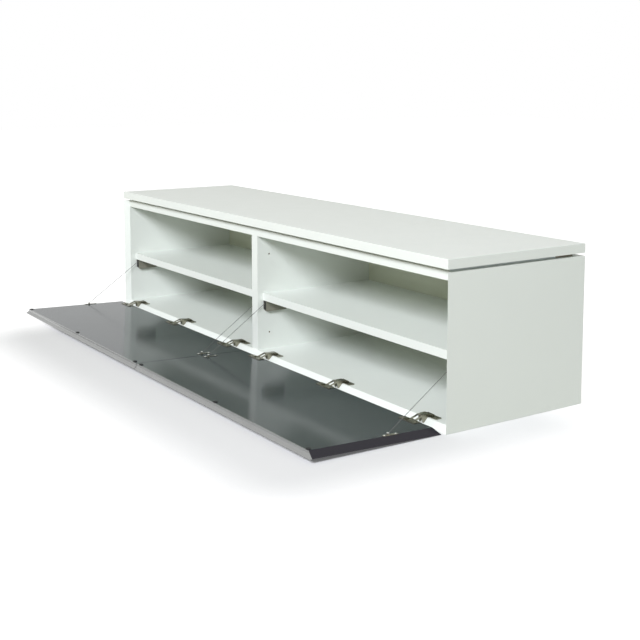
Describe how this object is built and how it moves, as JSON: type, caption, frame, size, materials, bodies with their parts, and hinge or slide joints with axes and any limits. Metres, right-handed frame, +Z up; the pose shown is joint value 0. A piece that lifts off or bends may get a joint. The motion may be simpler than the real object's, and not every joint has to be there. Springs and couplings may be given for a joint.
{
  "type": "floating media console",
  "caption": "Long white wall-hung media console with open bays behind grey drop-down flaps on concealed hinges and wire stays.",
  "frame": {"origin": "centre of the underside: middle of the length, middle of the carcass depth, on the lower face of the bottom panel", "axes": "+X along the console to the right as seen from the front, +Y towards the wall, +Z up; the flaps hang open towards -Y"},
  "size_m": [1.8, 0.8233, 0.413],
  "materials": {
    "white_lacquer": "satin white lacquer on fibreboard",
    "white_back_board": "thin white coated board",
    "raw_board": "bare fibreboard",
    "beech": "fluted beech",
    "grey_gloss_lacquer": "dark grey high gloss lacquer",
    "anodised_aluminium": "satin anodised",
    "nickel_steel": "nickel plated pressed steel",
    "steel_wire": "stranded stainless wire",
    "grey_plastic": "moulded",
    "black_plastic": "moulded",
    "black_rubber": "matt"
  },
  "bodies": {
    "carcass": {"top_panel": "white_lacquer", "spacer_front": "white_lacquer", "spacer_rear": "raw_board", "spacer_left": "white_lacquer", "spacer_centre": "raw_board", "spacer_right": "white_lacquer", "carcass_top": "white_lacquer", "centre_divider": "white_lacquer", "bottom_panel": "white_lacquer", "carcass_dowels": "beech", "side_panel_left": "white_lacquer", "shelf_left": "white_lacquer", "shelf_dowels_left": "beech", "back_panel_left": "white_back_board", "hanging_rail_left": "raw_board", "hinge_plates_left": "nickel_steel", "hinge_brackets_left": "nickel_steel", "hinge_pivot_pins_left": "nickel_steel", "stay_housing_left_inner": "grey_plastic", "stay_housing_left_outer": "grey_plastic", "stay_front_left_inner": "black_plastic", "stay_front_left_outer": "black_plastic", "stay_wire_left_inner": "steel_wire", "stay_wire_left_outer": "steel_wire", "side_panel_right": "white_lacquer", "shelf_right": "white_lacquer", "shelf_dowels_right": "beech", "back_panel_right": "white_back_board", "hanging_rail_right": "raw_board", "hinge_plates_right": "nickel_steel", "hinge_brackets_right": "nickel_steel", "hinge_pivot_pins_right": "nickel_steel", "stay_housing_right_inner": "grey_plastic", "stay_housing_right_outer": "grey_plastic", "stay_front_right_inner": "black_plastic", "stay_front_right_outer": "black_plastic", "stay_wire_right_inner": "steel_wire", "stay_wire_right_outer": "steel_wire"},
    "left_flap": {"flap_panel_left": "grey_gloss_lacquer", "handle_strip_left": "anodised_aluminium", "bumpers_left": "black_rubber", "hinge_leaves_left": "nickel_steel", "hinge_leaf_pins_left": "nickel_steel", "stay_fittings_left": "nickel_steel"},
    "left_hinge_arms": {"hinge_arms_left": "nickel_steel", "hinge_knee_pins_left": "nickel_steel"},
    "left_hinge_links": {"hinge_links_left": "nickel_steel"},
    "right_flap": {"flap_panel_right": "grey_gloss_lacquer", "handle_strip_right": "anodised_aluminium", "bumpers_right": "black_rubber", "hinge_leaves_right": "nickel_steel", "hinge_leaf_pins_right": "nickel_steel", "stay_fittings_right": "nickel_steel"},
    "right_hinge_arms": {"hinge_arms_right": "nickel_steel", "hinge_knee_pins_right": "nickel_steel"},
    "right_hinge_links": {"hinge_links_right": "nickel_steel"}
  },
  "joints": [
    {"name": "left_flap_hinge", "type": "hinge", "parent": "carcass", "child": "left_flap", "pos_m": [0, -0.2278, -0.0033], "axis": [-1, 0, 0], "range_deg": [0, 88.2], "deforming": ["stay_wire_left_inner", "stay_wire_left_outer"]},
    {"name": "left_hinge_arm_pivot", "type": "hinge", "parent": "carcass", "child": "left_hinge_arms", "pos_m": [0, -0.197, 0.021], "axis": [-1, 0, 0], "range_deg": [0, 105.84]},
    {"name": "left_hinge_leaf_pivot", "type": "hinge", "parent": "left_flap", "child": "left_hinge_links", "pos_m": [0, -0.25759, 0.01344], "axis": [-1, 0, 0], "range_deg": [-109.06, 0]},
    {"name": "right_flap_hinge", "type": "hinge", "parent": "carcass", "child": "right_flap", "pos_m": [0, -0.2278, -0.0033], "axis": [-1, 0, 0], "range_deg": [0, 88.2], "deforming": ["stay_wire_right_inner", "stay_wire_right_outer"]},
    {"name": "right_hinge_arm_pivot", "type": "hinge", "parent": "carcass", "child": "right_hinge_arms", "pos_m": [0, -0.197, 0.021], "axis": [-1, 0, 0], "range_deg": [0, 105.84]},
    {"name": "right_hinge_leaf_pivot", "type": "hinge", "parent": "right_flap", "child": "right_hinge_links", "pos_m": [0, -0.25759, 0.01344], "axis": [-1, 0, 0], "range_deg": [-109.06, 0]}
  ],
  "couplings": [
    {"joint": "left_hinge_arm_pivot", "follows": "left_flap_hinge", "ratio": 1.1994},
    {"joint": "left_hinge_leaf_pivot", "follows": "left_flap_hinge", "ratio": -1.2359},
    {"joint": "right_hinge_arm_pivot", "follows": "right_flap_hinge", "ratio": 1.1994},
    {"joint": "right_hinge_leaf_pivot", "follows": "right_flap_hinge", "ratio": -1.2359}
  ]
}
